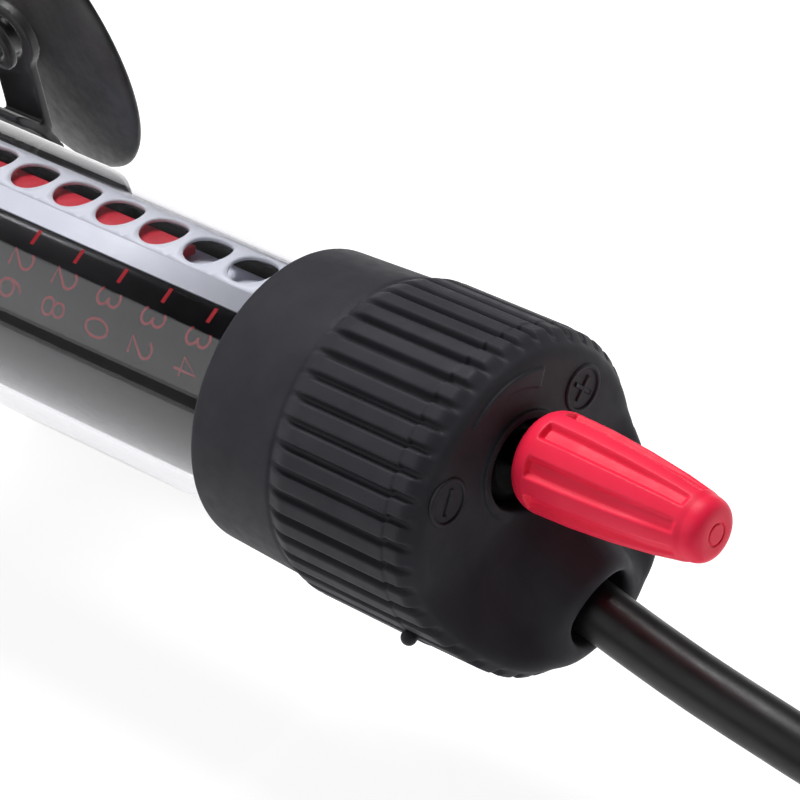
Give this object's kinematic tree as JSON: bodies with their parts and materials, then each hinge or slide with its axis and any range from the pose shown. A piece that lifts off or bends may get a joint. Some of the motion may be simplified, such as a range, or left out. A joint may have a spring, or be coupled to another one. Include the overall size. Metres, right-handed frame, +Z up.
{
  "type": "submersible aquarium heater",
  "caption": "Submersible aquarium heater: glass tube with thermostat and heating coil, ribbed cap, temperature knob, clips with suction cups, mains cable and plug.",
  "frame": {"origin": "centre of the flat pad at the back of the clip nearest the cap, the face that lies towards the aquarium wall", "axes": "+X along the glass tube towards the cap and knob, +Y out of the clip pad into the aquarium wall, +Z up as the heater lies across the tank with the knob side uppermost"},
  "size_m": [0.3812, 0.2163, 0.0778],
  "materials": {
    "glass": "clear polished",
    "lamp_glass": "clear, tinted",
    "cap_black": "moulded satin black",
    "clip_black": "moulded satin black",
    "rubber_black": "soft black rubber",
    "cable_black": "smooth black cable sheath",
    "knob_red": "bright red, slightly glossy",
    "indicator_red": "red",
    "print_white": "pale print on film",
    "print_black": "black print on film",
    "board_brown": "resin bonded board",
    "ceramic": "unglazed",
    "fibre_pad": "pressed glass fibre",
    "steel": "brushed",
    "brass": "plain",
    "resistance_wire": "drawn nickel chrome wire"
  },
  "bodies": {
    "heater": {"bimetal_anchor": "ceramic", "cable_grommet": "rubber_black", "cable_tie": "rubber_black", "cap_housing": "cap_black", "contact_magnet": "steel", "core_end_disc": "ceramic", "core_tie_rod": "steel", "core_top_disc": "ceramic", "end_cushion": "fibre_pad", "fixed_contact": "steel", "fixed_contact_bracket": "brass", "glass_tube": "glass", "heat_shield": "ceramic", "heater_core": "ceramic", "heating_coil": "resistance_wire", "indicator_guide": "print_white", "indicator_lamp": "lamp_glass", "lamp_resistor": "ceramic", "live_lead": "cable_black", "neutral_lead": "knob_red", "plug_body": "cable_black", "plug_pin_left": "steel", "plug_pin_right": "steel", "plug_strain_relief": "cable_black", "power_cable": "cable_black", "return_lead": "resistance_wire", "scale_sleeve": "print_black", "scale_strip": "print_white", "screw_bearing": "board_brown", "sealing_plug": "rubber_black", "shaft_gland": "rubber_black", "shaft_o_ring": "rubber_black", "suppressor_capacitor": "ceramic", "thermostat_board": "board_brown", "tube_o_ring": "rubber_black"},
    "knob": {"knob": "knob_red", "knob_shaft": "knob_red", "shaft_circlip": "steel", "temperature_screw": "steel"},
    "indicator": {"temperature_indicator": "indicator_red", "indicator_nut": "indicator_red"},
    "contact_arm": {"bimetal_strip": "brass", "moving_contact": "steel"},
    "cap_end_clip": {"cap_end_clip": "clip_black"},
    "tube_end_clip": {"tube_end_clip": "clip_black"},
    "cap_end_cup_top": {"cap_end_cup_top": "rubber_black"},
    "cap_end_cup_bottom": {"cap_end_cup_bottom": "rubber_black"},
    "tube_end_cup_top": {"tube_end_cup_top": "rubber_black"},
    "tube_end_cup_bottom": {"tube_end_cup_bottom": "rubber_black"}
  },
  "joints": [
    {"name": "knob_turn", "type": "hinge", "parent": "heater", "child": "knob", "pos_m": [0.11, -0.01545, 0.00569], "axis": [-1, 0, 0], "range_deg": [-990, 270]},
    {"name": "indicator_slide", "type": "slide", "parent": "heater", "child": "indicator", "axis": [1, 0, 0], "range_m": [-0.0355, 0.0098]},
    {"name": "contact_make", "type": "hinge", "parent": "heater", "child": "contact_arm", "pos_m": [0.002, -0.01746, -0.00631], "axis": [0, 0.9863, -0.165], "range_deg": [-4, 0.5]},
    {"name": "cap_end_clip_slide", "type": "slide", "parent": "heater", "child": "cap_end_clip", "axis": [1, 0, 0], "range_m": [-0.025, 0.03]},
    {"name": "tube_end_clip_slide", "type": "slide", "parent": "heater", "child": "tube_end_clip", "axis": [1, 0, 0], "range_m": [-0.012, 0.025]},
    {"name": "cap_end_cup_top_tip", "type": "hinge", "parent": "cap_end_clip", "child": "cap_end_cup_top", "pos_m": [0.0256, -0.003, 0.0196], "axis": [0, 0, 1], "range_deg": [0, 8]},
    {"name": "cap_end_cup_bottom_tip", "type": "hinge", "parent": "cap_end_clip", "child": "cap_end_cup_bottom", "pos_m": [0.0256, -0.003, -0.0196], "axis": [0, 0, 1], "range_deg": [-3, 3]},
    {"name": "tube_end_cup_top_tip", "type": "hinge", "parent": "tube_end_clip", "child": "tube_end_cup_top", "pos_m": [-0.0964, -0.003, 0.0196], "axis": [0, 0, 1], "range_deg": [-3, 3]},
    {"name": "tube_end_cup_bottom_tip", "type": "hinge", "parent": "tube_end_clip", "child": "tube_end_cup_bottom", "pos_m": [-0.0964, -0.003, -0.0196], "axis": [0, 0, 1], "range_deg": [-3, 3]}
  ],
  "couplings": [
    {"joint": "indicator_slide", "follows": "knob_turn", "m_per_rad": 0.0020483}
  ]
}
